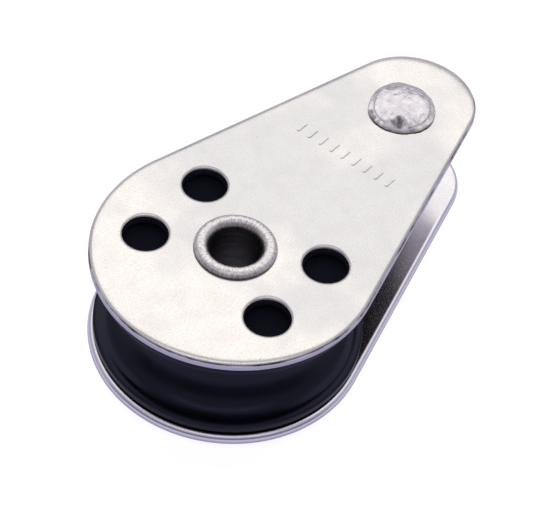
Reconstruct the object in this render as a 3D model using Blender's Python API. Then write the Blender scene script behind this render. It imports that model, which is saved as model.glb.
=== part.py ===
"""Single sheave block for small line: two stainless cheek plates, a nylon sheave turning on a
sleeve round a hollow tube rivet, and a solid head pin with its distance tube.

The block lies flat. The origin is under the middle of the block, +X runs along its length to the
head pin, and +Z is square to the cheeks.
"""

import math

import bmesh
import bpy

MM = 0.001

# Cheek plates: a big round end, two straight sides and a small round end
BIG_END_R = 15.0 * MM
SMALL_END_R = 7.4 * MM
ARC_CENTRE_SPAN = 30.4 * MM
CHEEK_THICKNESS = 1.3 * MM
CHEEK_GAP = 11.2 * MM
OUTER_EDGE_ROUND = 0.42 * MM
INNER_EDGE_ROUND = 0.18 * MM
OUTLINE_STEP_DEG = 6.0

# Four drain holes in each cheek, on one circle round the axle
DRAIN_CIRCLE_R = 9.4 * MM
DRAIN_HOLE_R = 2.35 * MM
DRAIN_ANGLE_DEG = 60.0
DRAIN_EDGE_ROUND = 0.35 * MM

# Head pin: its axis from the axle's, and its two heads
PIN_DISTANCE = 28.2 * MM
PIN_R = 2.5 * MM
PIN_HEAD_R = 3.75 * MM
PIN_HEAD_ROUND = 0.25 * MM
PIN_FLAT_HEAD_HEIGHT = 0.75 * MM
PIN_FORMED_SIDE_HEIGHT = 1.0 * MM
PIN_DOME_R = 3.3 * MM
PIN_DOME_RISE = 0.5 * MM
DISTANCE_TUBE_R = 3.4 * MM

# Hollow tube rivet that is the sheave's axle
AXLE_BORE_R = 2.92 * MM
AXLE_R = 3.6 * MM
AXLE_FLARE_R = 4.35 * MM
AXLE_FLARE_HEIGHT = 0.75 * MM
AXLE_LIP_EDGE = 0.1 * MM

# Sleeve that holds the cheeks apart, and the sheave that runs on it
SLEEVE_R = 5.0 * MM
RUNNING_CLEARANCE = 0.05 * MM
SHEAVE_R = 14.45 * MM
SHEAVE_WIDTH = 10.7 * MM
GROOVE_ROOT_R = 10.3 * MM
GROOVE_WIDTH = 9.0 * MM
RIM_ROUND = 0.3 * MM
FACE_RING_INNER_R = 8.1 * MM
FACE_RING_OUTER_R = 10.5 * MM
FACE_RING_DEPTH = 0.25 * MM

# Gaps that keep neighbouring solids apart, and how far a cutter runs past the plate
SEAT_GAP = 0.02 * MM
HOLE_CLEARANCE = 0.05 * MM
CUTTER_OVERRUN = 0.2 * MM

# Heights, from the surface that the block lies on
LOWER_FACE_Z = PIN_FLAT_HEAD_HEIGHT
UPPER_FACE_Z = LOWER_FACE_Z + 2 * CHEEK_THICKNESS + CHEEK_GAP
MIDDLE_Z = (LOWER_FACE_Z + UPPER_FACE_Z) / 2
HALF_GAP = CHEEK_GAP / 2
HALF_BLOCK = HALF_GAP + CHEEK_THICKNESS

# Places along the block, with the origin at the middle of its length
BLOCK_LENGTH = BIG_END_R + ARC_CENTRE_SPAN + SMALL_END_R
AXLE_X = BIG_END_R - BLOCK_LENGTH / 2
PIN_X = AXLE_X + PIN_DISTANCE


def clear_scene():
    for thing in list(bpy.data.objects):
        bpy.data.objects.remove(thing, do_unlink=True)


def material(name, colour, metallic, roughness):
    made = bpy.data.materials.new(name)
    made.use_nodes = True
    shader = made.node_tree.nodes["Principled BSDF"]
    shader.inputs["Base Color"].default_value = (*colour, 1.0)
    shader.inputs["Metallic"].default_value = metallic
    shader.inputs["Roughness"].default_value = roughness
    return made


def object_from(name, shape, finish, location=(0, 0, 0)):
    """Makes a smooth-shaded object from a bmesh and frees the bmesh."""
    bmesh.ops.recalc_face_normals(shape, faces=shape.faces)
    mesh = bpy.data.meshes.new(name)
    shape.to_mesh(mesh)
    shape.free()
    mesh.shade_smooth()
    mesh.set_sharp_from_angle(angle=math.radians(35))
    made = bpy.data.objects.new(name, mesh)
    bpy.context.scene.collection.objects.link(made)
    made.location = location
    if finish:
        mesh.materials.append(finish)
    return made


def cutter_from(name, shape, location=(0, 0, 0)):
    made = object_from(name, shape, None, location)
    made.hide_render = True
    made.display_type = "WIRE"
    return made


def arc(centre, radius, start_deg, end_deg, steps, height=None):
    """Points along a circle, or along an ellipse where a second radius is given as height."""
    height = radius if height is None else height
    points = []
    for i in range(steps + 1):
        angle = math.radians(start_deg + (end_deg - start_deg) * i / steps)
        points.append((centre[0] + radius * math.cos(angle), centre[1] + height * math.sin(angle)))
    return points


def turned(profile, segments):
    """A closed loop of (radius, height) points turned about Z. It may run along the axis."""
    shape = bmesh.new()
    corners = [shape.verts.new((radius, 0, height)) for radius, height in profile]
    edges = [shape.edges.new((a, b)) for a, b in zip(corners, corners[1:] + corners[:1])]
    bmesh.ops.spin(
        shape,
        geom=corners + edges,
        cent=(0, 0, 0),
        axis=(0, 0, 1),
        angle=math.tau,
        steps=segments,
        use_merge=True,
    )
    bmesh.ops.remove_doubles(shape, verts=shape.verts, dist=1e-7)
    loose = [edge for edge in shape.edges if not edge.link_faces]
    bmesh.ops.delete(shape, geom=loose, context="EDGES")
    return shape


def with_mirror_image(upper_half):
    """A closed profile from its upper half, which starts on the inside and ends on the outside."""
    return upper_half + [(radius, -height) for radius, height in reversed(upper_half)]


def cheek_outline(inset):
    """The plate's outline moved inwards by inset: two arcs whose ends make the straight sides."""
    turn = math.degrees(math.acos((BIG_END_R - SMALL_END_R) / ARC_CENTRE_SPAN))
    big_steps = 2 * round((180 - turn) / OUTLINE_STEP_DEG)
    small_steps = 2 * round(turn / OUTLINE_STEP_DEG)
    big = arc((0, 0), BIG_END_R - inset, turn, 360 - turn, big_steps)
    small = arc((ARC_CENTRE_SPAN, 0), SMALL_END_R - inset, -turn, turn, small_steps)
    return big + small


def cheek_rings():
    """(inset, height) of each outline ring, from the inner face's edge to the outer face's."""
    inner = arc((INNER_EDGE_ROUND, INNER_EDGE_ROUND), INNER_EDGE_ROUND, 270, 180, 1)
    outer_centre = (OUTER_EDGE_ROUND, CHEEK_THICKNESS - OUTER_EDGE_ROUND)
    return inner + arc(outer_centre, OUTER_EDGE_ROUND, 180, 90, 3)


def cheek_blank():
    """The plate before its holes are cut, with its outer face up and its inner face at height 0."""
    shape = bmesh.new()
    loops = []
    for inset, height in cheek_rings():
        loops.append([shape.verts.new((x, y, height)) for x, y in cheek_outline(inset)])
    for low, high in zip(loops, loops[1:]):
        for i in range(len(low)):
            j = (i + 1) % len(low)
            shape.faces.new((low[i], low[j], high[j], high[i]))
    shape.faces.new(loops[0][::-1])
    shape.faces.new(loops[-1])
    return shape


def drain_cutter():
    """A round plug whose top flares, so that the hole it cuts has a rounded outer edge."""
    low = -CUTTER_OVERRUN
    high = CHEEK_THICKNESS + CUTTER_OVERRUN
    mouth_centre = (DRAIN_HOLE_R + DRAIN_EDGE_ROUND, CHEEK_THICKNESS - DRAIN_EDGE_ROUND)
    mouth = arc(mouth_centre, DRAIN_EDGE_ROUND, 180, 90, 3)
    mouth_r = DRAIN_HOLE_R + DRAIN_EDGE_ROUND
    return turned([(0, low), (DRAIN_HOLE_R, low)] + mouth + [(mouth_r, high), (0, high)], 24)


def rivet_hole_cutter(radius, segments):
    low = -CUTTER_OVERRUN
    high = CHEEK_THICKNESS + CUTTER_OVERRUN
    return turned([(0, low), (radius, low), (radius, high), (0, high)], segments)


def make_cheek(name, finish, facing_up):
    """One cheek plate with its drain holes, its axle hole and its head pin hole."""
    cheek = object_from(name, cheek_blank(), finish)
    axle_hole = rivet_hole_cutter(AXLE_R + HOLE_CLEARANCE, 48)
    pin_hole = rivet_hole_cutter(PIN_R + HOLE_CLEARANCE, 32)
    cutters = [
        cutter_from(name + "_axle_cut", axle_hole),
        cutter_from(name + "_pin_cut", pin_hole, (PIN_DISTANCE, 0, 0)),
    ]
    for i, angle_deg in enumerate((DRAIN_ANGLE_DEG, 180 - DRAIN_ANGLE_DEG)):
        angle = math.radians(angle_deg)
        for side in (1, -1):
            place = (DRAIN_CIRCLE_R * math.cos(angle), side * DRAIN_CIRCLE_R * math.sin(angle), 0)
            cutters.append(cutter_from(f"{name}_drain_cut_{i}_{side}", drain_cutter(), place))
    for cutter in cutters:
        cutter.parent = cheek
        cut = cheek.modifiers.new(cutter.name, "BOOLEAN")
        cut.operation = "DIFFERENCE"
        cut.solver = "EXACT"
        cut.object = cutter
    height = HALF_GAP if facing_up else -HALF_GAP
    cheek.location = (AXLE_X, 0, MIDDLE_Z + height)
    if not facing_up:
        cheek.rotation_euler = (math.pi, 0, 0)
    return cheek


def make_axle_tube(finish):
    """Hollow rivet: a tube through both cheeks with each end rolled over into a round lip."""
    face = HALF_BLOCK + SEAT_GAP
    lip_width = (AXLE_FLARE_R - AXLE_BORE_R) / 2
    lip_centre = (AXLE_BORE_R + lip_width, HALF_BLOCK + AXLE_LIP_EDGE)
    lip = arc(lip_centre, lip_width, 180, 0, 7, height=AXLE_FLARE_HEIGHT - AXLE_LIP_EDGE)
    under_lip = [(AXLE_FLARE_R - AXLE_LIP_EDGE / 2, face), (AXLE_R, face)]
    profile = with_mirror_image(lip + under_lip)
    return object_from("axle_tube", turned(profile, 40), finish, (AXLE_X, 0, MIDDLE_Z))


def make_ring(name, finish, inner_r, outer_r, x):
    """A plain distance tube that fills the gap between the cheeks."""
    half = HALF_GAP - SEAT_GAP
    profile = with_mirror_image([(inner_r, half), (outer_r, half)])
    return object_from(name, turned(profile, 40), finish, (x, 0, MIDDLE_Z))


def make_sheave(finish):
    """Grooved wheel with a shallow moulded ring in each face, and its origin on the axle."""
    bore = SLEEVE_R + RUNNING_CLEARANCE
    half = SHEAVE_WIDTH / 2
    groove_depth = SHEAVE_R - GROOVE_ROOT_R
    groove = arc((SHEAVE_R, 0), groove_depth, 90, 180, 6, height=GROOVE_WIDTH / 2)
    rim = arc((SHEAVE_R - RIM_ROUND, half - RIM_ROUND), RIM_ROUND, 90, 0, 2)
    recess = half - FACE_RING_DEPTH
    slope = FACE_RING_DEPTH / 2
    face = [
        (bore, half),
        (FACE_RING_INNER_R, half),
        (FACE_RING_INNER_R + slope, recess),
        (FACE_RING_OUTER_R - slope, recess),
        (FACE_RING_OUTER_R, half),
    ]
    groove_root = groove.pop()
    upper = face + rim + groove
    lower = [(radius, -height) for radius, height in reversed(upper)]
    return object_from("sheave", turned(upper + [groove_root] + lower, 56), finish, (AXLE_X, 0, MIDDLE_Z))


def make_head_pin(finish):
    """Solid rivet: a flat factory head below, a shank, and a stepped, domed head formed on top."""
    face = HALF_BLOCK + SEAT_GAP
    bottom = -HALF_BLOCK - PIN_FLAT_HEAD_HEIGHT
    step = HALF_BLOCK + PIN_FORMED_SIDE_HEIGHT
    edge_r = PIN_HEAD_R - PIN_HEAD_ROUND
    flat_head = arc((edge_r, bottom + PIN_HEAD_ROUND), PIN_HEAD_ROUND, 270, 360, 3)
    shank = [(PIN_HEAD_R, -face), (PIN_R, -face), (PIN_R, face), (PIN_HEAD_R, face)]
    formed_side = arc((edge_r, step - PIN_HEAD_ROUND), PIN_HEAD_ROUND, 0, 90, 3)
    dome = arc((0, step), PIN_DOME_R, 0, 90, 5, height=PIN_DOME_RISE)
    profile = [(0, bottom)] + flat_head + shank + formed_side + dome
    return object_from("head_pin", turned(profile, 40), finish, (PIN_X, 0, MIDDLE_Z))


def build():
    clear_scene()
    plate_steel = material("satin_stainless_plate", (0.76, 0.74, 0.72), 1.0, 0.32)
    pin_steel = material("formed_stainless_rivet", (0.60, 0.58, 0.58), 1.0, 0.35)
    black_nylon = material("black_moulded_nylon", (0.012, 0.013, 0.018), 0.0, 0.38)
    make_cheek("upper_cheek_plate", plate_steel, facing_up=True)
    make_cheek("lower_cheek_plate", plate_steel, facing_up=False)
    make_axle_tube(pin_steel)
    make_ring("axle_sleeve", pin_steel, AXLE_R + HOLE_CLEARANCE, SLEEVE_R, AXLE_X)
    make_sheave(black_nylon)
    make_head_pin(pin_steel)
    make_ring("head_distance_tube", pin_steel, PIN_R + HOLE_CLEARANCE, DISTANCE_TUBE_R, PIN_X)


build()
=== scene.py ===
"""Looks of a single sheave block: two pressed stainless cheeks riveted round a black nylon sheave.

Lengths in the tables below are millimetres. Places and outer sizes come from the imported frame.
"""

from math import acos, asin, atan2, cos, hypot, pi, radians, sin, tan, tau

import bmesh
import bpy
from mathutils import Matrix, Vector, noise
from mathutils.geometry import delaunay_2d_cdt


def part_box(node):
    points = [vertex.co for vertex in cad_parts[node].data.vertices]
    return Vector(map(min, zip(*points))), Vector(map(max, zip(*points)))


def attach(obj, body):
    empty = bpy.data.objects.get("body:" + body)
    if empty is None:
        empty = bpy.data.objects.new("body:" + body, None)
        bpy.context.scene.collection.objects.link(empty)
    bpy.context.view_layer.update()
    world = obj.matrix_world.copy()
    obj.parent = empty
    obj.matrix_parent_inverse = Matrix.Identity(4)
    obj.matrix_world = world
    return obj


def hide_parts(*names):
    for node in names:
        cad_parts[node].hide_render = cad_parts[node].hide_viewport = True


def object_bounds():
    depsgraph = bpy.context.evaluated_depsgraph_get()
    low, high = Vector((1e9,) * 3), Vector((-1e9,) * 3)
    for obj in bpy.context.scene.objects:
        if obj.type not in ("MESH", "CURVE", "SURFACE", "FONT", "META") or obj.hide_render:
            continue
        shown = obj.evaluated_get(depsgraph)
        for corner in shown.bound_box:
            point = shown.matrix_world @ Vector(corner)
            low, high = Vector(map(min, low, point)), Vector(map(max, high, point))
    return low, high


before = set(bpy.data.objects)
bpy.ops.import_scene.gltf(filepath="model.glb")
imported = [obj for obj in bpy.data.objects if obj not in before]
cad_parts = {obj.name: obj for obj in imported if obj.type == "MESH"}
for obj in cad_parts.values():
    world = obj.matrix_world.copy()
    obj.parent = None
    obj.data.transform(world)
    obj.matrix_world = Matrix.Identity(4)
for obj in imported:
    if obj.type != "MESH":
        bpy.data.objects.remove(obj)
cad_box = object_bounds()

MM = 0.001
scene = bpy.context.scene


# ---------------------------------------------------------------- sizes from the frame

def node_box(node):
    """Lowest and highest corner of a CAD node, in millimetres."""
    low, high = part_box(node)
    return low / MM, high / MM


CHEEK_LOW, CHEEK_HIGH = node_box("upper_cheek_plate")
LOWER_LOW, LOWER_HIGH = node_box("lower_cheek_plate")
SHEAVE_LOW, SHEAVE_HIGH = node_box("sheave")
AXLE_LOW, AXLE_HIGH = node_box("axle_tube")
SLEEVE_LOW, SLEEVE_HIGH = node_box("axle_sleeve")
PIN_LOW, PIN_HIGH = node_box("head_pin")
TUBE_LOW, TUBE_HIGH = node_box("head_distance_tube")

AXLE = ((SHEAVE_LOW.x + SHEAVE_HIGH.x) / 2, 0.0)
PIN = ((PIN_LOW.x + PIN_HIGH.x) / 2, 0.0)
MIDDLE_Z = (SHEAVE_LOW.z + SHEAVE_HIGH.z) / 2
CHEEK_THICKNESS = CHEEK_HIGH.z - CHEEK_LOW.z
BIG_END_R = AXLE[0] - CHEEK_LOW.x
SHEAVE_R = (SHEAVE_HIGH.x - SHEAVE_LOW.x) / 2
SHEAVE_HALF_WIDTH = (SHEAVE_HIGH.z - SHEAVE_LOW.z) / 2
EYELET_R = (AXLE_HIGH.x - AXLE_LOW.x) / 2
PIN_HEAD_R = (PIN_HIGH.x - PIN_LOW.x) / 2
SLEEVE_R = (SLEEVE_HIGH.x - SLEEVE_LOW.x) / 2
DISTANCE_TUBE_R = (TUBE_HIGH.x - TUBE_LOW.x) / 2

# ---------------------------------------------------------------- sizes of the finer shapes, in mm

SEAT_GAP = 0.02          # clear space left between pieces that touch on the real block

SMALL_END_R = 7.4
SMALL_END_X = CHEEK_HIGH.x - SMALL_END_R
FLANK_LEAN = asin((BIG_END_R - SMALL_END_R) / (SMALL_END_X - AXLE[0]))  # of the flanks, towards the head
WAIST_X = 0.5            # between the two ends, where the painted end brightening is least
DRAIN_CIRCLE_R = 9.4
DRAIN_HOLE_R = 2.35
DRAIN_ANGLES = (60, 120, 240, 300)
AXLE_HOLE_R = 3.65
PIN_HOLE_R = 2.55

OUTER_EDGE_WIDTH = 1.05  # tumbling rolls the edges of the outer face well over
OUTER_EDGE_DROP = 0.52
HEAD_EDGE_SPREAD = 0.9   # share by which that roll is wider at the head end
HEAD_EDGE_FADE = 1.5     # and the power by which it narrows again round the arc
UPPER_INNER_ROUND = 0.38
LOWER_INNER_ROUND = 0.6  # fuller, so that a bright line shows along the inner edge
SHEAR_MIDDLE = CHEEK_LOW.z + 0.5    # the sheared band of the side, tinted lilac as a painted reflection, and the height of the painted dark reflection line at its top
REFLECTION_LINE_Z = CHEEK_HIGH.z - 0.36
DRAIN_RIM_WIDTH = 0.6
DRAIN_RIM_DROP = 0.4
DRAIN_INNER_ROUND = 0.15
BORE_OUTER_ROUND = 0.1
BORE_INNER_ROUND = 0.05

AXLE_BORE_R = 2.72
LIP_CREST_R = 3.5
LIP_DEPTH = 1.15         # how far the flare reaches down the bore
AXLE_R = 3.6
PIN_R = 2.5
TUBE_BORE_EDGE = 0.08
TUBE_OUTER_EDGE = 0.15

DENTS = (                # hammer dents: way round, distance out, reach and depth
    (210, 2.8, 0.9, 0.18),
    (120, 1.9, 0.9, 0.06),
    (20, 2.1, 0.8, 0.06),
    (300, 1.7, 0.9, 0.05),
)
DOME_FOOT_R = 3.08
LEDGE_RISE = 0.72           # the step that the cupped set left round the dome
DOME_TOP_ROOM = 0.16        # the dome stops this far short of the CAD head, for the tilt and the lumps
HEAD_DRIFT = (-0.05, -0.4)  # the hammer drove the closed head a little to one side of the pin
HEAD_TILT = 0.09            # and left it higher towards this way round
HEAD_TILT_TOWARDS = 34
HEAD_SKIRT = 0.4            # the hammering fades out over this height above the cheek
LUMP_WIDTH = 0.8
LUMP_HEIGHT = 0.05
SCUFF_WIDTH = 0.35
SCUFF_HEIGHT = 0.025
DENTED_BEYOND_FOOT = 0.15
RIM_WAVE = 0.12             # the rim of the head swells in and out slowly, with quicker nicks
RIM_WAVE_PACE = 2.5
RIM_NICK = 0.04
RIM_NICK_PACE = 9

GROOVE_ROOT_R = 10.3
GROOVE_HALF_WIDTH = 4.5
GROOVE_LIP_DEPTH = 0.3
SHEAVE_BORE_R = 5.05
RECESS_INNER_R = 8.0
RECESS_OUTER_R = 10.6
RECESS_SLOPE = 0.2
RECESS_DEPTH = 0.08

MARK_COUNT = 9           # plain pressed bars in a row across the head end
MARK_PITCH = 1.5
MARK_LENGTH = 1.8
MARK_WIDTH = 0.56
MARK_DEPTH = 0.1
MARK_X = 7.1

# Steps along the curves, and the net of points that fills the flat faces.
HEAD_ARC_STEPS = 24
FLANK_STEPS = 20
BIG_ARC_STEPS = 48
HOLE_STEPS = 72
OUTER_EDGE_STEPS = 16
HOLE_EDGE_STEPS = 8
INNER_EDGE_STEPS = 5
INNER_FLAT_START = 0.03  # the flat of each face starts this far inside its rounded edge
OUTER_FLAT_START = 0.05
NET_PITCH = 1.3
NET_ROWS = 12
NET_EDGE_MARGIN = 2.4
NET_HOLE_MARGIN = 1.2
MARK_NET_PITCH = 0.085
MARK_NET_REACH = (1.05, 6.5)
MARK_NET_ROOM = (1.6, 7.0)
MERGE_WITHIN = 1e-5
ON_AXIS = 1e-6
LIP_STEPS = 14
DOME_STEPS = 24
GROOVE_STEPS = 24
GROOVE_FIRST_STEP = 3    # the first steps of the groove are taken up by its lip
TUBE_TURN_STEPS = 120
RIVET_TURN_STEPS = 200
SHEAVE_TURN_STEPS = 240


# ---------------------------------------------------------------- materials

def linear(hex_colour):
    """An sRGB hex colour as the linear colour that the shaders use."""
    channels = [int(hex_colour[i:i + 2], 16) / 255 for i in (1, 3, 5)]
    return [c / 12.92 if c <= 0.04045 else ((c + 0.055) / 1.055) ** 2.4 for c in channels] + [1.0]


def add_node(tree, kind, feeds, **settings):
    """A new node of that kind: settings are its menus, feeds the numbers, colours or links it takes."""
    node = tree.nodes.new(kind)
    for name, value in settings.items():
        setattr(node, name, value)
    for socket, value in feeds.items():
        if isinstance(value, bpy.types.Node):
            tree.links.new(value.outputs[0], node.inputs[socket])
        elif isinstance(value, bpy.types.NodeSocket):
            tree.links.new(value, node.inputs[socket])
        else:
            node.inputs[socket].default_value = value
    return node


# A colour Mix node knows its sockets by number only.
SHARE, FIRST, SECOND, BLEND = 0, 6, 7, 2


def new_material(name):
    """A material with its node tree and its Principled shader to build on."""
    material = bpy.data.materials.new(name)
    material.use_nodes = True
    tree = material.node_tree
    return material, tree, tree.nodes["Principled BSDF"]


def finish_shader(tree, shader, colour, roughness, relief):
    """Joins the three finished patterns to the shader."""
    tree.links.new(colour.outputs[BLEND], shader.inputs["Base Color"])
    tree.links.new(roughness.outputs[0], shader.inputs["Roughness"])
    tree.links.new(relief.outputs[0], shader.inputs["Normal"])


def away_from_middle(tree, height):
    """How far a point is above or below the middle of the block, so that one recipe does for both sides."""
    off_centre = add_node(tree, "ShaderNodeMath", {0: height, 1: MIDDLE_Z * MM}, operation="SUBTRACT")
    return add_node(tree, "ShaderNodeMath", {0: off_centre}, operation="ABSOLUTE")


def from_middle(z):
    """A height in millimetres as a distance from the middle of the block, in metres."""
    return (z - MIDDLE_Z) * MM


def tumbled_stainless_sheet():
    """Stainless sheet, blanked and then tumbled in fine ceramic chips.

    The eye sees a pale satin metal with a fine even grain, a little cloudy and warmer in patches, with
    painted light that brightens it towards the two ends, and pin-prick dents that the chips left, darkened
    with painted shade.
    On the sheared side it sees a pale finish tinted lilac as a painted reflection, and just above it a
    painted dark reflection line on the rolled-over edge, broken up along the side by noise. The inner faces
    darken towards the sheave with painted shade.
    """
    material, tree, shader = new_material("tumbled_stainless_sheet")
    shader.inputs["Metallic"].default_value = 1.0
    place = add_node(tree, "ShaderNodeTexCoord", {}).outputs["Object"]
    # Tumbling grain is about 0.05 mm across, drawn coarser so that it shows.
    grain_width = 0.18 * MM
    # It leaves faint clouds this wide.
    cloud_width = 2.4 * MM
    # Warmer, paler patches as wide as a fingertip are random tone; added to them is painted light that
    # brightens the face towards the two ends.
    patch_width = 11.0 * MM
    grain = add_node(tree, "ShaderNodeTexNoise", {"Vector": place, "Scale": 1 / grain_width, "Detail": 3.0})
    cloud = add_node(tree, "ShaderNodeTexNoise", {"Vector": place, "Scale": 1 / cloud_width, "Detail": 5.0})
    wide = add_node(tree, "ShaderNodeTexNoise", {"Vector": place, "Scale": 1 / patch_width, "Detail": 3.0})
    cloudy = add_node(tree, "ShaderNodeMapRange", {"Value": cloud, "From Min": 0.35, "From Max": 0.65})
    parts = add_node(tree, "ShaderNodeSeparateXYZ", {"Vector": place})
    from_waist = add_node(tree, "ShaderNodeMath", {
        0: parts.outputs["X"], 1: WAIST_X * MM,
    }, operation="SUBTRACT")
    to_end = add_node(tree, "ShaderNodeMath", {0: from_waist}, operation="ABSOLUTE")
    end_brightening = add_node(tree, "ShaderNodeMapRange", {
        "Value": to_end, "From Min": 4 * MM, "From Max": 24 * MM, "To Min": -0.08, "To Max": 0.2,
    })
    patches_and_end_light = add_node(tree, "ShaderNodeMath", {0: wide, 1: end_brightening}, operation="ADD")
    warm_patches_and_end_light = add_node(tree, "ShaderNodeMapRange", {"Value": patches_and_end_light, "From Min": 0.42, "From Max": 0.66})
    grainy = add_node(tree, "ShaderNodeMapRange", {
        "Value": grain, "From Min": 0.45, "From Max": 0.7, "To Max": 0.42,
    })
    cool = add_node(tree, "ShaderNodeMix", {
        SHARE: cloudy, FIRST: linear("#D8D6D4"), SECOND: linear("#DFDDDB"),
    }, data_type="RGBA")
    warm = add_node(tree, "ShaderNodeMix", {
        SHARE: cloudy, FIRST: linear("#EDE7E0"), SECOND: linear("#F6F1EB"),
    }, data_type="RGBA")
    face = add_node(tree, "ShaderNodeMix", {
        SHARE: warm_patches_and_end_light, FIRST: cool.outputs[BLEND], SECOND: warm.outputs[BLEND],
    }, data_type="RGBA")
    grained = add_node(tree, "ShaderNodeMix", {
        SHARE: grainy, FIRST: face.outputs[BLEND], SECOND: linear("#C6C5C0"),
    }, data_type="RGBA")
    # Pin-prick dents lie about 2 mm apart, each 0.2 mm across, and each is darkened with painted shade.
    prick_pitch = 2.0 * MM
    pricks = add_node(tree, "ShaderNodeTexVoronoi", {"Vector": place, "Scale": 1 / prick_pitch})
    prick = add_node(tree, "ShaderNodeMapRange", {
        "Value": pricks, "From Min": 0.02, "From Max": 0.06, "To Min": 0.6, "To Max": 0.0,
    })
    pricked_with_pit_shade = add_node(tree, "ShaderNodeMix", {
        SHARE: prick, FIRST: grained.outputs[BLEND], SECOND: linear("#A9A3A2"),
    }, data_type="RGBA")
    away = away_from_middle(tree, parts.outputs["Z"])
    # The side's sheared band gets its own paler finish, tinted lilac as a painted reflection of the room
    # below.
    from_shear = add_node(tree, "ShaderNodeMath", {
        0: away, 1: from_middle(SHEAR_MIDDLE),
    }, operation="SUBTRACT")
    shear_away = add_node(tree, "ShaderNodeMath", {0: from_shear}, operation="ABSOLUTE")
    sheared = add_node(tree, "ShaderNodeMapRange", {
        "Value": shear_away, "From Min": 0.42 * MM, "From Max": 0.54 * MM, "To Min": 1.0, "To Max": 0.0,
    })
    sheared_and_reflection_tinted = add_node(tree, "ShaderNodeMix", {
        SHARE: sheared, FIRST: pricked_with_pit_shade.outputs[BLEND], SECOND: linear("#E2DFEC"),
    }, data_type="RGBA")
    # A painted dark reflection line runs along the rolled-over edge, just above the side.
    from_reflection_line = add_node(tree, "ShaderNodeMath", {
        0: away, 1: from_middle(REFLECTION_LINE_Z),
    }, operation="SUBTRACT")
    reflection_line_away = add_node(tree, "ShaderNodeMath", {0: from_reflection_line}, operation="ABSOLUTE")
    line = add_node(tree, "ShaderNodeMapRange", {
        "Value": reflection_line_away, "From Min": 0.05 * MM, "From Max": 0.13 * MM, "To Min": 1.0, "To Max": 0.0,
    })
    # Noise breaks up the painted dark reflection line in places.
    reflection_line_breakup = add_node(tree, "ShaderNodeMapRange", {
        "Value": cloud, "From Min": 0.4, "From Max": 0.62, "To Min": 0.15, "To Max": 0.95,
    })
    broken_reflection_line = add_node(tree, "ShaderNodeMath", {0: line, 1: reflection_line_breakup}, operation="MULTIPLY")
    reflection_lined = add_node(tree, "ShaderNodeMix", {
        SHARE: broken_reflection_line, FIRST: sheared_and_reflection_tinted.outputs[BLEND], SECOND: linear("#432B2F"),
    }, data_type="RGBA")
    # Painted shade darkens the inner faces towards the sheave.
    inner = add_node(tree, "ShaderNodeMapRange", {
        "Value": away, "To Min": 1.0, "To Max": 0.0,
        "From Min": from_middle(CHEEK_LOW.z),
        "From Max": from_middle(CHEEK_LOW.z + INNER_FLAT_START),
    })
    towards_sheave = add_node(tree, "ShaderNodeMapRange", {
        "Value": parts.outputs["X"], "From Min": 4 * MM, "From Max": 17 * MM, "To Min": 0.92, "To Max": 0.0,
    })
    painted_inner_shade = add_node(tree, "ShaderNodeMath", {0: inner, 1: towards_sheave}, operation="MULTIPLY")
    colour = add_node(tree, "ShaderNodeMix", {
        SHARE: painted_inner_shade, FIRST: reflection_lined.outputs[BLEND], SECOND: linear("#69646B"),
    }, data_type="RGBA")
    roughness = add_node(tree, "ShaderNodeMapRange", {
        "Value": cloud, "From Min": 0.3, "From Max": 0.7, "To Min": 0.2, "To Max": 0.27,
    })
    grain_relief = add_node(tree, "ShaderNodeBump", {
        "Height": grain, "Strength": 0.28, "Distance": 0.02 * MM,
    })
    relief = add_node(tree, "ShaderNodeBump", {
        "Height": prick, "Normal": grain_relief, "Strength": 0.4, "Distance": -0.02 * MM,
    })
    finish_shader(tree, shader, colour, roughness, relief)
    return material


def polar_place(tree, place, centre):
    """The nodes that give each point's angle, its distance from a vertical axis and its height."""
    parts = add_node(tree, "ShaderNodeSeparateXYZ", {"Vector": place})
    x = add_node(tree, "ShaderNodeMath", {0: parts.outputs["X"], 1: centre[0] * MM}, operation="SUBTRACT")
    y = add_node(tree, "ShaderNodeMath", {0: parts.outputs["Y"], 1: centre[1] * MM}, operation="SUBTRACT")
    angle = add_node(tree, "ShaderNodeMath", {0: y, 1: x}, operation="ARCTAN2")
    flat = add_node(tree, "ShaderNodeCombineXYZ", {"X": x, "Y": y})
    distance = add_node(tree, "ShaderNodeVectorMath", {0: flat}, operation="LENGTH").outputs["Value"]
    return angle, distance, parts.outputs["Z"]


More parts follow.
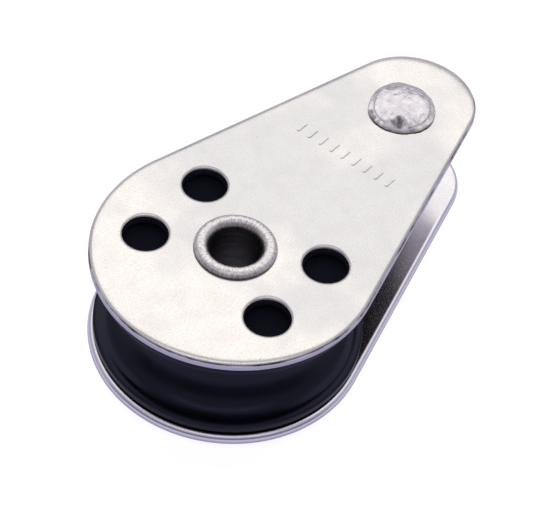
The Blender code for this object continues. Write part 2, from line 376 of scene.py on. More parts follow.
def rolled_stainless_tube():
    """Stainless tube, its ends flared and rolled over with a turning punch.

    The eye sees fine uneven ribs that run out across a mottled lip, and a bore darkened with painted shade,
    with faint rings, and painted shade in the crease at the lip's foot.
    """
    material, tree, shader = new_material("rolled_stainless_tube")
    shader.inputs["Metallic"].default_value = 1.0
    place = add_node(tree, "ShaderNodeTexCoord", {}).outputs["Object"]
    angle, distance, height = polar_place(tree, place, AXLE)
    # The punch leaves ribs this far apart round the lip, each this long.
    rib_pitch = 0.14
    rib_length = 0.5 * MM
    rib_angle = add_node(tree, "ShaderNodeMath", {
        0: angle, 1: LIP_CREST_R / rib_pitch,
    }, operation="MULTIPLY")
    rib_run = add_node(tree, "ShaderNodeMath", {0: distance, 1: 1 / rib_length}, operation="MULTIPLY")
    rib_place = add_node(tree, "ShaderNodeCombineXYZ", {"X": rib_angle, "Y": rib_run})
    ribs = add_node(tree, "ShaderNodeTexNoise", {"Vector": rib_place, "Scale": 1.0, "Detail": 3.0})
    # Mottle of the worked metal, this wide.
    grain_width = 0.25 * MM
    grain = add_node(tree, "ShaderNodeTexNoise", {"Vector": place, "Scale": 1 / grain_width, "Detail": 3.0})
    # Drawing leaves rings this far apart down the bore.
    ring_pitch = 0.3 * MM
    ring_run = add_node(tree, "ShaderNodeMath", {0: height, 1: 1 / ring_pitch}, operation="MULTIPLY")
    ring_turn = add_node(tree, "ShaderNodeMath", {0: angle, 1: 0.6}, operation="MULTIPLY")
    ring_place = add_node(tree, "ShaderNodeCombineXYZ", {"X": ring_run, "Y": ring_turn})
    rings = add_node(tree, "ShaderNodeTexNoise", {"Vector": ring_place, "Scale": 1.0, "Detail": 2.0})
    ribbed = add_node(tree, "ShaderNodeMapRange", {"Value": ribs, "From Min": 0.35, "From Max": 0.6})
    mottled = add_node(tree, "ShaderNodeMapRange", {"Value": grain, "From Min": 0.35, "From Max": 0.65})
    mottle = add_node(tree, "ShaderNodeMix", {
        SHARE: mottled, FIRST: linear("#A29CA4"), SECOND: linear("#D9D5D4"),
    }, data_type="RGBA")
    lip = add_node(tree, "ShaderNodeMix", {
        SHARE: ribbed, FIRST: mottle.outputs[BLEND], SECOND: linear("#EFEBE6"),
    }, data_type="RGBA")
    # The bore's two colours are dark as painted shade; the drawn rings vary them faintly.
    ringed = add_node(tree, "ShaderNodeMapRange", {"Value": rings, "From Min": 0.35, "From Max": 0.65})
    bore = add_node(tree, "ShaderNodeMix", {
        SHARE: ringed, FIRST: linear("#6E6B6A"), SECOND: linear("#918D8B"),
    }, data_type="RGBA")
    # Painted shade: the bore below the lip takes the dark bore colours.
    bore_shade_mask = add_node(tree, "ShaderNodeMapRange", {
        "Value": distance, "From Min": (AXLE_BORE_R + 0.01) * MM, "From Max": (AXLE_BORE_R + 0.2) * MM,
        "To Min": 1.0, "To Max": 0.0,
    })
    tube = add_node(tree, "ShaderNodeMix", {
        SHARE: bore_shade_mask, FIRST: lip.outputs[BLEND], SECOND: bore.outputs[BLEND],
    }, data_type="RGBA")
    # Painted shade darkens the crease where the lip meets the sheet.
    away = away_from_middle(tree, height)
    crease = add_node(tree, "ShaderNodeMapRange", {
        "Value": away, "To Min": 0.85, "To Max": 0.0,
        "From Min": from_middle(CHEEK_HIGH.z + 0.14),
        "From Max": from_middle(CHEEK_HIGH.z + 0.32),
    })
    outside = add_node(tree, "ShaderNodeMapRange", {
        "Value": distance, "From Min": AXLE_R * MM, "From Max": (AXLE_R + 0.3) * MM,
    })
    painted_shade = add_node(tree, "ShaderNodeMath", {0: crease, 1: outside}, operation="MULTIPLY")
    colour = add_node(tree, "ShaderNodeMix", {
        SHARE: painted_shade, FIRST: tube.outputs[BLEND], SECOND: linear("#38303A"),
    }, data_type="RGBA")
    roughness = add_node(tree, "ShaderNodeMapRange", {
        "Value": grain, "From Min": 0.3, "From Max": 0.7, "To Min": 0.27, "To Max": 0.42,
    })
    rib_relief = add_node(tree, "ShaderNodeBump", {"Height": ribs, "Strength": 0.5, "Distance": 0.03 * MM})
    relief = add_node(tree, "ShaderNodeBump", {
        "Height": grain, "Normal": rib_relief, "Strength": 0.4, "Distance": 0.03 * MM,
    })
    finish_shader(tree, shader, colour, roughness, relief)
    return material


def hammered_stainless_rivet():
    """Stainless rivet, its head closed by hammering in a cupped set.

    The eye sees a mottled grey-lilac dome with soft dents, duller than the sheet round it.
    """
    material, tree, shader = new_material("hammered_stainless_rivet")
    shader.inputs["Metallic"].default_value = 1.0
    place = add_node(tree, "ShaderNodeTexCoord", {}).outputs["Object"]
    # The set leaves dents this wide, with finer scuffs in them.
    dent_width = 0.7 * MM
    scuff_width = 0.2 * MM
    mottle = add_node(tree, "ShaderNodeTexNoise", {"Vector": place, "Scale": 1 / dent_width, "Detail": 4.0})
    scuff = add_node(tree, "ShaderNodeTexNoise", {"Vector": place, "Scale": 1 / scuff_width, "Detail": 3.0})
    mottled = add_node(tree, "ShaderNodeMapRange", {"Value": mottle, "From Min": 0.35, "From Max": 0.65})
    scuffed = add_node(tree, "ShaderNodeMapRange", {"Value": scuff, "From Min": 0.35, "From Max": 0.7})
    dented = add_node(tree, "ShaderNodeMix", {
        SHARE: mottled, FIRST: linear("#C3BCC4"), SECOND: linear("#F3F0EC"),
    }, data_type="RGBA")
    worn = add_node(tree, "ShaderNodeMix", {
        SHARE: scuffed, FIRST: dented.outputs[BLEND], SECOND: linear("#DBD6D9"),
    }, data_type="RGBA")
    # Painted shade darkens the bottom of the deepest dent and the crease under the head; the crease mask
    # also darkens everything below it, the shank and the factory head.
    towards, out, reach, _ = DENTS[0]
    pit_x = PIN[0] + HEAD_DRIFT[0] + out * cos(radians(towards))
    pit_y = PIN[1] + HEAD_DRIFT[1] + out * sin(radians(towards))
    pit_depth = 0.5
    raggedness = 1.3 * MM
    pit = Vector((pit_x, pit_y, PIN_HIGH.z - pit_depth)) * MM
    pit_distance = add_node(tree, "ShaderNodeVectorMath", {0: place, 1: pit}, operation="DISTANCE")
    from_pit = pit_distance.outputs["Value"]
    ragged = add_node(tree, "ShaderNodeMath", {0: mottle, 1: raggedness}, operation="MULTIPLY")
    ragged_reach = add_node(tree, "ShaderNodeMath", {0: from_pit, 1: ragged}, operation="ADD")
    pit_shade = add_node(tree, "ShaderNodeMapRange", {
        "Value": ragged_reach, "From Min": (reach + 0.3) * MM, "From Max": (reach + 0.85) * MM,
        "To Min": 0.9, "To Max": 0.0,
    })
    height = add_node(tree, "ShaderNodeSeparateXYZ", {"Vector": place}).outputs["Z"]
    crease = add_node(tree, "ShaderNodeMapRange", {
        "Value": height, "From Min": (CHEEK_HIGH.z + 0.1) * MM, "From Max": (CHEEK_HIGH.z + 0.34) * MM,
        "To Min": 0.85, "To Max": 0.0,
    })
    painted_shade = add_node(tree, "ShaderNodeMath", {0: pit_shade, 1: crease}, operation="MAXIMUM")
    colour = add_node(tree, "ShaderNodeMix", {
        SHARE: painted_shade, FIRST: worn.outputs[BLEND], SECOND: linear("#2E2A34"),
    }, data_type="RGBA")
    roughness = add_node(tree, "ShaderNodeMapRange", {
        "Value": mottle, "From Min": 0.3, "From Max": 0.7, "To Min": 0.2, "To Max": 0.34,
    })
    dents = add_node(tree, "ShaderNodeBump", {"Height": mottle, "Strength": 0.5, "Distance": 0.06 * MM})
    relief = add_node(tree, "ShaderNodeBump", {
        "Height": scuff, "Normal": dents, "Strength": 0.4, "Distance": 0.03 * MM,
    })
    finish_shader(tree, shader, colour, roughness, relief)
    return material


def moulded_black_nylon():
    """Black nylon, injection moulded in a turned and lightly polished tool.

    The eye sees a deep blue-black with a soft gloss, slightly uneven, and faint turning rings.
    """
    material, tree, shader = new_material("moulded_black_nylon")
    shader.inputs["IOR"].default_value = 1.53
    shader.inputs["Specular IOR Level"].default_value = 0.3
    shader.inputs["Specular Tint"].default_value = linear("#C9CCFF")
    place = add_node(tree, "ShaderNodeTexCoord", {}).outputs["Object"]
    # The gloss is uneven over patches this wide.
    cloud_width = 4.0 * MM
    cloud = add_node(tree, "ShaderNodeTexNoise", {"Vector": place, "Scale": 1 / cloud_width, "Detail": 4.0})
    angle, distance, height = polar_place(tree, place, AXLE)
    # The mould's turning rings are this far apart, slanting down the groove.
    ring_pitch = 0.35 * MM
    along = add_node(tree, "ShaderNodeMath", {0: height, 1: distance}, operation="ADD")
    ring_run = add_node(tree, "ShaderNodeMath", {0: along, 1: 1 / ring_pitch}, operation="MULTIPLY")
    ring_turn = add_node(tree, "ShaderNodeMath", {0: angle, 1: 0.5}, operation="MULTIPLY")
    ring_place = add_node(tree, "ShaderNodeCombineXYZ", {"X": ring_run, "Y": ring_turn})
    rings = add_node(tree, "ShaderNodeTexNoise", {"Vector": ring_place, "Scale": 1.0, "Detail": 2.0})
    cloudy = add_node(tree, "ShaderNodeMapRange", {"Value": cloud, "From Min": 0.3, "From Max": 0.7})
    colour = add_node(tree, "ShaderNodeMix", {
        SHARE: cloudy, FIRST: linear("#050609"), SECOND: linear("#0A0B11"),
    }, data_type="RGBA")
    glossy = add_node(tree, "ShaderNodeMapRange", {
        "Value": cloud, "From Min": 0.3, "From Max": 0.7, "To Min": 0.2, "To Max": 0.3,
    })
    # The two faces rub on the cheeks and are dull.
    away = away_from_middle(tree, height)
    rubbed = add_node(tree, "ShaderNodeMapRange", {
        "Value": away, "To Max": 0.75,
        "From Min": (SHEAVE_HALF_WIDTH - 0.3) * MM, "From Max": (SHEAVE_HALF_WIDTH - 0.12) * MM,
    })
    roughness = add_node(tree, "ShaderNodeMath", {0: glossy, 1: rubbed}, operation="ADD")
    relief = add_node(tree, "ShaderNodeBump", {"Height": rings, "Strength": 0.1, "Distance": 0.02 * MM})
    finish_shader(tree, shader, colour, roughness, relief)
    return material


CHEEK_STEEL = tumbled_stainless_sheet()
EYELET_STEEL = rolled_stainless_tube()
RIVET_STEEL = hammered_stainless_rivet()
BLACK_NYLON = moulded_black_nylon()


# ---------------------------------------------------------------- shape tools

def make_piece(name, mesh_builder, material, body, node):
    """Turns a finished bmesh into a smooth-shaded piece that stands for that CAD node."""
    mesh = bpy.data.meshes.new(name)
    bmesh.ops.recalc_face_normals(mesh_builder, faces=mesh_builder.faces[:])
    mesh_builder.to_mesh(mesh)
    mesh_builder.free()
    mesh.materials.append(material)
    mesh.shade_smooth()
    piece = bpy.data.objects.new(name, mesh)
    scene.collection.objects.link(piece)
    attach(piece, body)
    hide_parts(node)


def quarter(width, drop, steps):
    """Points of a rounded edge, from the side to the face: (distance in, distance below the face)."""
    points = []
    for i in range(steps + 1):
        angle = pi / 2 * i / steps
        points.append((width * (1 - cos(angle)), drop * (1 - sin(angle))))
    return points


def rounded(corners, steps=6):
    """A line through (radius, height, rounding) corners, each turned by an arc of that rounding."""
    line = []
    for i, (x, z, rounding) in enumerate(corners):
        here = Vector((x, z))
        if not rounding:
            line.append((x, z))
            continue
        before = (Vector(corners[i - 1][:2]) - here).normalized()
        after = (Vector(corners[(i + 1) % len(corners)][:2]) - here).normalized()
        half_angle = acos(max(-1, min(1, before.dot(after)))) / 2
        centre = here + (before + after).normalized() * rounding / sin(half_angle)
        start = here + before * rounding / tan(half_angle) - centre
        end = here + after * rounding / tan(half_angle) - centre
        turn = atan2(start.x * end.y - start.y * end.x, start.dot(end))
        for k in range(steps + 1):
            line.append(tuple(centre + Matrix.Rotation(turn * k / steps, 2) @ start))
    return line


def turned(profile, centre, steps=160, shape=None):
    """Spins a (radius, height) line about a vertical axis. shape may move each point by its angle."""
    builder = bmesh.new()
    starts_on_axis = profile[0][0] < ON_AXIS
    rings = []
    for radius, height in profile:
        if radius < ON_AXIS:
            x, y, z = centre[0], centre[1], height
            rings.append([builder.verts.new((x * MM, y * MM, z * MM))])
            continue
        ring = []
        for i in range(steps):
            angle = tau * i / steps
            r, z = shape(radius, angle, height) if shape else (radius, height)
            x = centre[0] + r * cos(angle)
            y = centre[1] + r * sin(angle)
            ring.append(builder.verts.new((x * MM, y * MM, z * MM)))
        rings.append(ring)
    pairs = list(zip(rings, rings[1:]))
    if not starts_on_axis:
        pairs.append((rings[-1], rings[0]))
    for lower, upper in pairs:
        for i in range(steps):
            k = (i + 1) % steps
            corners = [lower[i % len(lower)], lower[k % len(lower)]]
            corners += [upper[k % len(upper)], upper[i % len(upper)]]
            builder.faces.new(list(dict.fromkeys(corners)))
    return builder


# ---------------------------------------------------------------- cheeks

def cheek_outline():
    """The cheek's edge as (centre x, radius, angle): two arcs and the straight flanks that touch both."""
    flank_angle = pi / 2 - FLANK_LEAN
    one_side = []
    for i in range(HEAD_ARC_STEPS + 1):
        one_side.append((SMALL_END_X, SMALL_END_R, flank_angle * i / HEAD_ARC_STEPS))
    for i in range(1, FLANK_STEPS):
        share = i / FLANK_STEPS
        centre_x = SMALL_END_X + share * (AXLE[0] - SMALL_END_X)
        radius = SMALL_END_R + share * (BIG_END_R - SMALL_END_R)
        one_side.append((centre_x, radius, flank_angle))
    for i in range(BIG_ARC_STEPS + 1):
        one_side.append((AXLE[0], BIG_END_R, flank_angle + (pi - flank_angle) * i / BIG_ARC_STEPS))
    other_side = [(centre_x, radius, -angle) for centre_x, radius, angle in one_side[-2:0:-1]]
    return one_side + other_side


def inside_depth(x, y):
    """How far a point lies in from the cheek's outline."""
    along = (x - AXLE[0]) * cos(FLANK_LEAN) - abs(y) * sin(FLANK_LEAN)
    if along <= 0:
        return BIG_END_R - hypot(x - AXLE[0], y)
    if along >= (SMALL_END_X - AXLE[0]) * cos(FLANK_LEAN):
        return SMALL_END_R - hypot(x - SMALL_END_X, y)
    return BIG_END_R - ((x - AXLE[0]) * sin(FLANK_LEAN) + abs(y) * cos(FLANK_LEAN))


def press_marks(x, y):
    """How far the outer face is pressed down at a point by the row of plain bars."""
    row = round(y / MARK_PITCH)
    if abs(row) > MARK_COUNT // 2:
        return 0.0
    beyond = max(0.0, abs(x - MARK_X) - (MARK_LENGTH - MARK_WIDTH) / 2)
    away = hypot(beyond, y - row * MARK_PITCH) / (MARK_WIDTH / 2)
    return MARK_DEPTH * max(0.0, 1 - away)


def edge_stations(width, drop, steps, inner):
    """A plate edge from the inner face to the outer one: (distance in, height above the inner face)."""
    inner_side = quarter(inner, inner, INNER_EDGE_STEPS)[::-1]
    outer_side = [(across, CHEEK_THICKNESS - down) for across, down in quarter(width, drop, steps)]
    stations = [(inner + INNER_FLAT_START, 0.0)] + inner_side + outer_side
    return stations + [(width + OUTER_FLAT_START, CHEEK_THICKNESS)]


def make_cheek(name, node, inner_z, outer_z, inner_round, marked):
    """One cheek: every edge is a stack of rings that run round it, and the two faces fill what is left."""
    builder = bmesh.new()
    up = 1 if outer_z > inner_z else -1
    holes = []
    for angle in DRAIN_ANGLES:
        x = AXLE[0] + DRAIN_CIRCLE_R * cos(radians(angle))
        y = DRAIN_CIRCLE_R * sin(radians(angle))
        holes.append((x, y, DRAIN_HOLE_R, DRAIN_RIM_WIDTH, DRAIN_RIM_DROP, DRAIN_INNER_ROUND))
    for x, radius in ((AXLE[0], AXLE_HOLE_R), (PIN[0], PIN_HOLE_R)):
        holes.append((x, 0.0, radius, BORE_OUTER_ROUND, BORE_OUTER_ROUND, BORE_INNER_ROUND))
    inner_loops = []
    outer_loops = []

    def add_ring(points, height):
        return [builder.verts.new((x * MM, y * MM, (inner_z + up * height) * MM)) for x, y in points]

    def join(rings):
        """Skins a stack of rings, and keeps its two ends for the faces to fill between."""
        for lower, upper in zip(rings, rings[1:]):
            for i in range(len(lower)):
                k = (i + 1) % len(lower)
                builder.faces.new((lower[i], lower[k], upper[k], upper[i]))
        inner_loops.append(rings[0])
        outer_loops.append(rings[-1])

    rings = []
    for inset, height in edge_stations(OUTER_EDGE_WIDTH, OUTER_EDGE_DROP, OUTER_EDGE_STEPS, inner_round):
        on_roll = height > CHEEK_THICKNESS - OUTER_EDGE_DROP
        points = []
        for centre_x, radius, angle in cheek_outline():
            on_head = on_roll and centre_x == SMALL_END_X
            at_head = max(0.0, cos(angle)) ** HEAD_EDGE_FADE if on_head else 0.0
            reach = radius - inset * (1 + HEAD_EDGE_SPREAD * at_head)
            points.append((centre_x + reach * cos(angle), reach * sin(angle)))
        rings.append(add_ring(points, height))
    join(rings)
    for x, y, radius, rim_width, rim_drop, inner in holes:
        rings = []
        for inset, height in edge_stations(rim_width, rim_drop, HOLE_EDGE_STEPS, inner):
            reach = radius + inset
            points = []
            for i in range(HOLE_STEPS):
                angle = tau * i / HOLE_STEPS
                points.append((x + reach * cos(angle), y + reach * sin(angle)))
            rings.append(add_ring(points, height))
        join(rings)

    def on_open_sheet(x, y):
        clear = all(hypot(x - hole[0], y - hole[1]) > hole[2] + NET_HOLE_MARGIN for hole in holes)
        return clear and inside_depth(x, y) > NET_EDGE_MARGIN

    def net_points(with_marks):
        """An even net of points over the open sheet, and a fine one under the row of pressed bars."""
        points = []
        for i in range(int(CHEEK_LOW.x / NET_PITCH) - 1, int(CHEEK_HIGH.x / NET_PITCH) + 2):
            for k in range(-NET_ROWS, NET_ROWS + 1):
                x = i * NET_PITCH
                y = (k + (i % 2) / 2) * NET_PITCH
                under_marks = abs(x - MARK_X) < MARK_NET_ROOM[0] and abs(y) < MARK_NET_ROOM[1]
                if not (with_marks and under_marks) and on_open_sheet(x, y):
                    points.append(Vector((x, y)))
        if with_marks:
            columns = int(MARK_NET_REACH[0] / MARK_NET_PITCH)
            rows = int(MARK_NET_REACH[1] / MARK_NET_PITCH)
            for i in range(-columns, columns + 1):
                for k in range(-rows, rows + 1):
                    points.append(Vector((MARK_X + i * MARK_NET_PITCH, k * MARK_NET_PITCH)))
        return points

    def fill(loops, z, with_marks):
        """Fills between the outline's ring and the holes' rings with triangles over the net."""
        rim = [vertex for loop in loops for vertex in loop]
        points = [Vector((vertex.co.x / MM, vertex.co.y / MM)) for vertex in rim]
        edges = []
        for loop in loops:
            start = rim.index(loop[0])
            edges.extend((start + i, start + (i + 1) % len(loop)) for i in range(len(loop)))
        points += net_points(with_marks)
        hole_loops = [set(loop) for loop in loops[1:]]
        places, _, faces, sources, _, _ = delaunay_2d_cdt(points, edges, [], 1, MERGE_WITHIN)
        vertices = []
        for place, source in zip(places, sources):
            on_rim = [i for i in source if i < len(rim)]
            if on_rim:
                vertices.append(rim[on_rim[0]])
                continue
            depth = press_marks(place.x, place.y) if with_marks else 0.0
            vertices.append(builder.verts.new((place.x * MM, place.y * MM, (z - up * depth) * MM)))
        for face in faces:
            corners = [vertices[i] for i in face]
            if not any(all(corner in loop for corner in corners) for loop in hole_loops):
                builder.faces.new(corners)

    fill(inner_loops, inner_z, False)
    fill(outer_loops, outer_z, marked)
    loose = [vertex for vertex in builder.verts if not vertex.link_faces]
    bmesh.ops.delete(builder, geom=loose, context="VERTS")
    make_piece(name, builder, CHEEK_STEEL, "block_frame", node)


make_cheek("upper_cheek", "upper_cheek_plate", CHEEK_LOW.z, CHEEK_HIGH.z, UPPER_INNER_ROUND, True)
make_cheek("lower_cheek", "lower_cheek_plate", LOWER_HIGH.z, LOWER_LOW.z, LOWER_INNER_ROUND, False)


# ---------------------------------------------------------------- axle tube, sleeve, distance tube

def mirrored(upper_line):
    """A closed section from its upper half, which runs from the bore out to the outside."""
    return upper_line + [(r, 2 * MIDDLE_Z - z) for r, z in reversed(upper_line)]


def make_eyelet():
    """The hollow axle, flared and rolled over at both ends into a rounded lip."""
    crest = AXLE_HIGH.z
    seat = CHEEK_HIGH.z + SEAT_GAP
    wall_z = MIDDLE_Z + 1
    upper = [(AXLE_BORE_R, wall_z)]
    for i in range(LIP_STEPS + 1):
        angle = pi / 2 * i / LIP_STEPS
        radius = LIP_CREST_R - (LIP_CREST_R - AXLE_BORE_R) * cos(angle)
        upper.append((radius, crest - LIP_DEPTH * (1 - sin(angle))))
    for i in range(1, LIP_STEPS + 1):
        angle = pi / 2 * i / LIP_STEPS
        radius = LIP_CREST_R + (EYELET_R - LIP_CREST_R) * sin(angle)
        upper.append((radius, crest - (crest - seat) * (1 - cos(angle))))
    upper += [(AXLE_R, seat), (AXLE_R, wall_z)]
    eyelet = turned(mirrored(upper), AXLE)
    make_piece("axle_eyelet", eyelet, EYELET_STEEL, "block_frame", "axle_tube")


def make_plain_tube(name, node, centre, bore, radius, low, high):
    """A tube cut to length with its edges broken."""
    section = rounded([
        (bore, low, TUBE_BORE_EDGE),
        (bore, high, TUBE_BORE_EDGE),
        (radius, high, TUBE_OUTER_EDGE),
        (radius, low, TUBE_OUTER_EDGE),
    ], 3)
    tube = turned(section, centre, TUBE_TURN_STEPS)
    make_piece(name, tube, EYELET_STEEL, "block_frame", node)


make_eyelet()
make_plain_tube(
    "sleeve_bush", "axle_sleeve", AXLE,
    AXLE_R + SEAT_GAP, SLEEVE_R, SLEEVE_LOW.z, SLEEVE_HIGH.z,
)
make_plain_tube(
    "distance_tube", "head_distance_tube", PIN,
    PIN_R + SEAT_GAP, DISTANCE_TUBE_R, TUBE_LOW.z, TUBE_HIGH.z,
)


# ---------------------------------------------------------------- head pin

def make_rivet():
    """The head pin: a flat factory head below, and above a stepped dome closed by hammer blows."""
    seat = CHEEK_HIGH.z + SEAT_GAP
    under = LOWER_LOW.z - SEAT_GAP
    top = PIN_HIGH.z
    ledge = seat + LEDGE_RISE
    touching = 0.001
    shank_room = 0.01
    # Each row is a corner of the section, out from the middle of the factory head: radius, height, rounding.
    section = rounded([
        (0, PIN_LOW.z, 0),
        (PIN_HEAD_R, PIN_LOW.z, 0.25),
        (PIN_HEAD_R, under, 0.06),
        (PIN_R, under, 0),
        (PIN_R, seat, 0),
        (PIN_HEAD_R, seat, 0.06),
        (PIN_HEAD_R - 0.02, ledge - 0.36, 0.12),
        (DOME_FOOT_R + 0.12, ledge - 0.1, 0.06),
        (DOME_FOOT_R + 0.05, ledge - 0.04, 0.03),
        (DOME_FOOT_R, ledge, 0),
    ])
    dome_rise = top - DOME_TOP_ROOM - ledge
    fullness = 2.1
    for i in range(1, DOME_STEPS + 1):
        share = 1 - i / DOME_STEPS
        section.append((DOME_FOOT_R * share, ledge + dome_rise * (1 - share ** fullness)))

    def hammered(radius, angle, height):
        """A point of the closed head after the hammer: lumps, dents, a tilt and an uneven rim."""
        on_shank = radius < PIN_R + shank_room and height < seat + touching
        if height < seat - touching or on_shank:
            return radius, height
        x = radius * cos(angle)
        y = radius * sin(angle)
        lift = noise.noise(Vector((x, y, 0)) / LUMP_WIDTH) * LUMP_HEIGHT
        lift += noise.noise(Vector((x, y, 7)) / SCUFF_WIDTH) * SCUFF_HEIGHT
        if radius < DOME_FOOT_R + DENTED_BEYOND_FOOT:
            for towards, out, reach, depth in DENTS:
                away = hypot(x - out * cos(radians(towards)), y - out * sin(radians(towards))) / reach
                lift -= depth * max(0.0, 1 - away * away)
        swell = noise.noise(Vector((cos(angle), sin(angle), 5.0)) * RIM_WAVE_PACE) * RIM_WAVE
        swell += noise.noise(Vector((cos(angle), sin(angle), 2.0)) * RIM_NICK_PACE) * RIM_NICK
        lift += HEAD_TILT * radius * cos(angle - radians(HEAD_TILT_TOWARDS))
        lift *= min(1.0, (height - seat) / HEAD_SKIRT)
        return min(radius + swell * (radius / PIN_HEAD_R) ** 3, PIN_HEAD_R), min(height + lift, top)

    builder = turned(section, PIN, RIVET_TURN_STEPS, hammered)
    driven = Vector((*HEAD_DRIFT, 0)) * MM
    for vertex in builder.verts:
        height = vertex.co.z / MM
        out = hypot(vertex.co.x / MM - PIN[0], vertex.co.y / MM - PIN[1])
        if height > seat - touching and (out > PIN_R + shank_room or height > seat + shank_room):
            vertex.co += driven
    make_piece("head_rivet", builder, RIVET_STEEL, "block_frame", "head_pin")


make_rivet()


# ---------------------------------------------------------------- sheave

def make_sheave():
    """The grooved wheel, with a shallow moulded ring in each face."""
    face = MIDDLE_Z + SHEAVE_HALF_WIDTH
    groove_depth = SHEAVE_R - GROOVE_ROOT_R
    upper = rounded([
        (SHEAVE_BORE_R, MIDDLE_Z, 0),
        (SHEAVE_BORE_R, face, 0.12),
        (RECESS_INNER_R, face, 0.1),
        (RECESS_INNER_R + RECESS_SLOPE, face - RECESS_DEPTH, 0.1),
        (RECESS_OUTER_R - RECESS_SLOPE, face - RECESS_DEPTH, 0.1),
        (RECESS_OUTER_R, face, 0.1),
        (SHEAVE_R, face, 0.14),
        (SHEAVE_R, MIDDLE_Z + GROOVE_HALF_WIDTH, 0.2),
        (SHEAVE_R - GROOVE_LIP_DEPTH, MIDDLE_Z + GROOVE_HALF_WIDTH - 0.35, 0),
    ], 4)[:-1]
    for i in range(GROOVE_FIRST_STEP, GROOVE_STEPS + 1):
        angle = pi / 2 * i / GROOVE_STEPS
        upper.append((SHEAVE_R - groove_depth * sin(angle), MIDDLE_Z + GROOVE_HALF_WIDTH * cos(angle)))
    section = upper[1:] + [(r, 2 * MIDDLE_Z - z) for r, z in reversed(upper[1:-1])]
    wheel = turned(section, AXLE, SHEAVE_TURN_STEPS)
    make_piece("grooved_sheave", wheel, BLACK_NYLON, "sheave", "sheave")


make_sheave()


# ---------------------------------------------------------------- floor, light and camera

def direction(azimuth, elevation):
    """The unit vector that points that way: azimuth from +X towards +Y, in degrees."""
    flat = cos(radians(elevation))
    return Vector((flat * cos(radians(azimuth)), flat * sin(radians(azimuth)), sin(radians(elevation))))


FLOOR_R = 1.5
FLOOR_GAP = 0.05 * MM    # the block rests just clear of the card


def make_floor():
    """A wide round of pale card that stays white right out to the edges of the view."""
    material, _, shader = new_material("pale_card")
    shader.inputs["Roughness"].default_value = 0.7
    shader.inputs["Base Color"].default_value = linear("#C8C6CC")
    shader.inputs["Emission Color"].default_value = linear("#F6F5FA")
    shader.inputs["Emission Strength"].default_value = 0.85
    builder = bmesh.new()
    bmesh.ops.create_circle(builder, cap_ends=True, radius=FLOOR_R, segments=96)
    mesh = bpy.data.meshes.new("floor")
    builder.to_mesh(mesh)
    builder.free()
    mesh.materials.append(material)
    floor = bpy.data.objects.new("floor", mesh)
    floor.location.z = cad_box[0][2] - FLOOR_GAP
    floor.visible_glossy = False  # the steel shows the dim room below it, not the lit card
    scene.collection.objects.link(floor)


def softbox(name, azimuth, elevation, distance, width, height, radiance, colour):
    """A rectangular area light that faces the block, given by how bright its face is."""
    light = bpy.data.lights.new(name, "AREA")
    light.shape = "RECTANGLE"
    light.size = width
    light.size_y = height
    light.energy = radiance * pi * width * height
    light.color = linear(colour)[:3]
    lamp = bpy.data.objects.new(name, light)
    towards = direction(azimuth, elevation)
    lamp.location = towards * distance
    lamp.rotation_euler = towards.to_track_quat("Z", "Y").to_euler()
    scene.collection.objects.link(lamp)


CAMERA_AZIMUTH = -146.05
CAMERA_ELEVATION = 48.75
CAMERA_DISTANCE = 192.6
CAMERA_ROLL = 7.1
CAMERA_AIM = (-5.18, -0.21, 7.65)
CAMERA_LENS = 120.1
CAMERA_SENSOR = 36
CAMERA_NEAR = 0.005      # metres


def make_camera():
    """A long lens above the wide end of the block, turned a little about its own axis."""
    camera = bpy.data.cameras.new("camera")
    camera.sensor_width = CAMERA_SENSOR
    camera.lens = CAMERA_LENS
    camera.clip_start = CAMERA_NEAR
    holder = bpy.data.objects.new("camera", camera)
    back = direction(CAMERA_AZIMUTH, CAMERA_ELEVATION)
    holder.location = Vector(CAMERA_AIM) * MM + back * CAMERA_DISTANCE * MM
    facing = back.to_track_quat("Z", "Y").to_matrix().to_4x4()
    turn = facing @ Matrix.Rotation(radians(CAMERA_ROLL), 4, "Z")
    holder.rotation_euler = turn.to_euler()
    scene.collection.objects.link(holder)
    scene.camera = holder


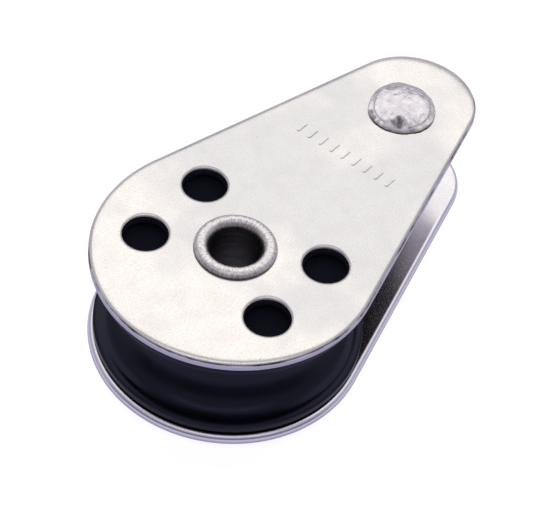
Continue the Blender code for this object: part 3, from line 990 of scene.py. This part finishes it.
def make_world():
    """The room behind the panels: pale all round, lilac below, and dark low down on the camera's side."""
    world = bpy.data.worlds.new("studio_room")
    world.use_nodes = True
    tree = world.node_tree
    place = add_node(tree, "ShaderNodeTexCoord", {}).outputs["Generated"]
    height = add_node(tree, "ShaderNodeSeparateXYZ", {"Vector": place}).outputs["Z"]
    climb = add_node(tree, "ShaderNodeMapRange", {"Value": height, "From Min": 0.05, "From Max": 0.95})
    above = add_node(tree, "ShaderNodeMix", {
        SHARE: climb, FIRST: linear("#B8B6C0"), SECOND: linear("#BDBBC4"),
    }, data_type="RGBA")
    sink = add_node(tree, "ShaderNodeMapRange", {
        "Value": height, "From Min": -0.8, "From Max": -0.3, "To Min": 1.0, "To Max": 0.0,
    })
    below = add_node(tree, "ShaderNodeMix", {
        SHARE: sink, FIRST: linear("#DAD8E6"), SECOND: linear("#A9A6BF"),
    }, data_type="RGBA")
    under = add_node(tree, "ShaderNodeMapRange", {
        "Value": height, "From Min": -0.04, "From Max": 0.02, "To Min": 1.0, "To Max": 0.0,
    })
    room = add_node(tree, "ShaderNodeMix", {
        SHARE: under, FIRST: above.outputs[BLEND], SECOND: below.outputs[BLEND],
    }, data_type="RGBA")
    front = add_node(tree, "ShaderNodeVectorMath", {
        0: place, 1: direction(CAMERA_AZIMUTH, 0),
    }, operation="DOT_PRODUCT")
    in_front = add_node(tree, "ShaderNodeMapRange", {
        "Value": front.outputs["Value"], "From Min": 0.0, "From Max": 0.3,
    })
    low_edge = add_node(tree, "ShaderNodeMapRange", {"Value": height, "From Min": 0.02, "From Max": 0.12})
    high_edge = add_node(tree, "ShaderNodeMapRange", {
        "Value": height, "From Min": 0.5, "From Max": 0.66, "To Min": 1.0, "To Max": 0.0,
    })
    band = add_node(tree, "ShaderNodeMath", {0: low_edge, 1: high_edge}, operation="MULTIPLY")
    shade = add_node(tree, "ShaderNodeMath", {0: band, 1: in_front}, operation="MULTIPLY")
    colour = add_node(tree, "ShaderNodeMix", {
        SHARE: shade, FIRST: room.outputs[BLEND], SECOND: linear("#78727E"),
    }, data_type="RGBA")
    tree.links.new(colour.outputs[BLEND], tree.nodes["Background"].inputs["Color"])
    scene.world = world


make_floor()
make_world()
softbox(
    "sky_panel", azimuth=34, elevation=57, distance=0.6,
    width=1.0, height=0.66, radiance=0.68, colour="#FFFFF9",
)
softbox(
    "hair_panel", azimuth=-146, elevation=67, distance=0.6,
    width=0.6, height=0.07, radiance=1.1, colour="#F6F2FF",
)
make_camera()
scene.view_settings.view_transform = "Standard"
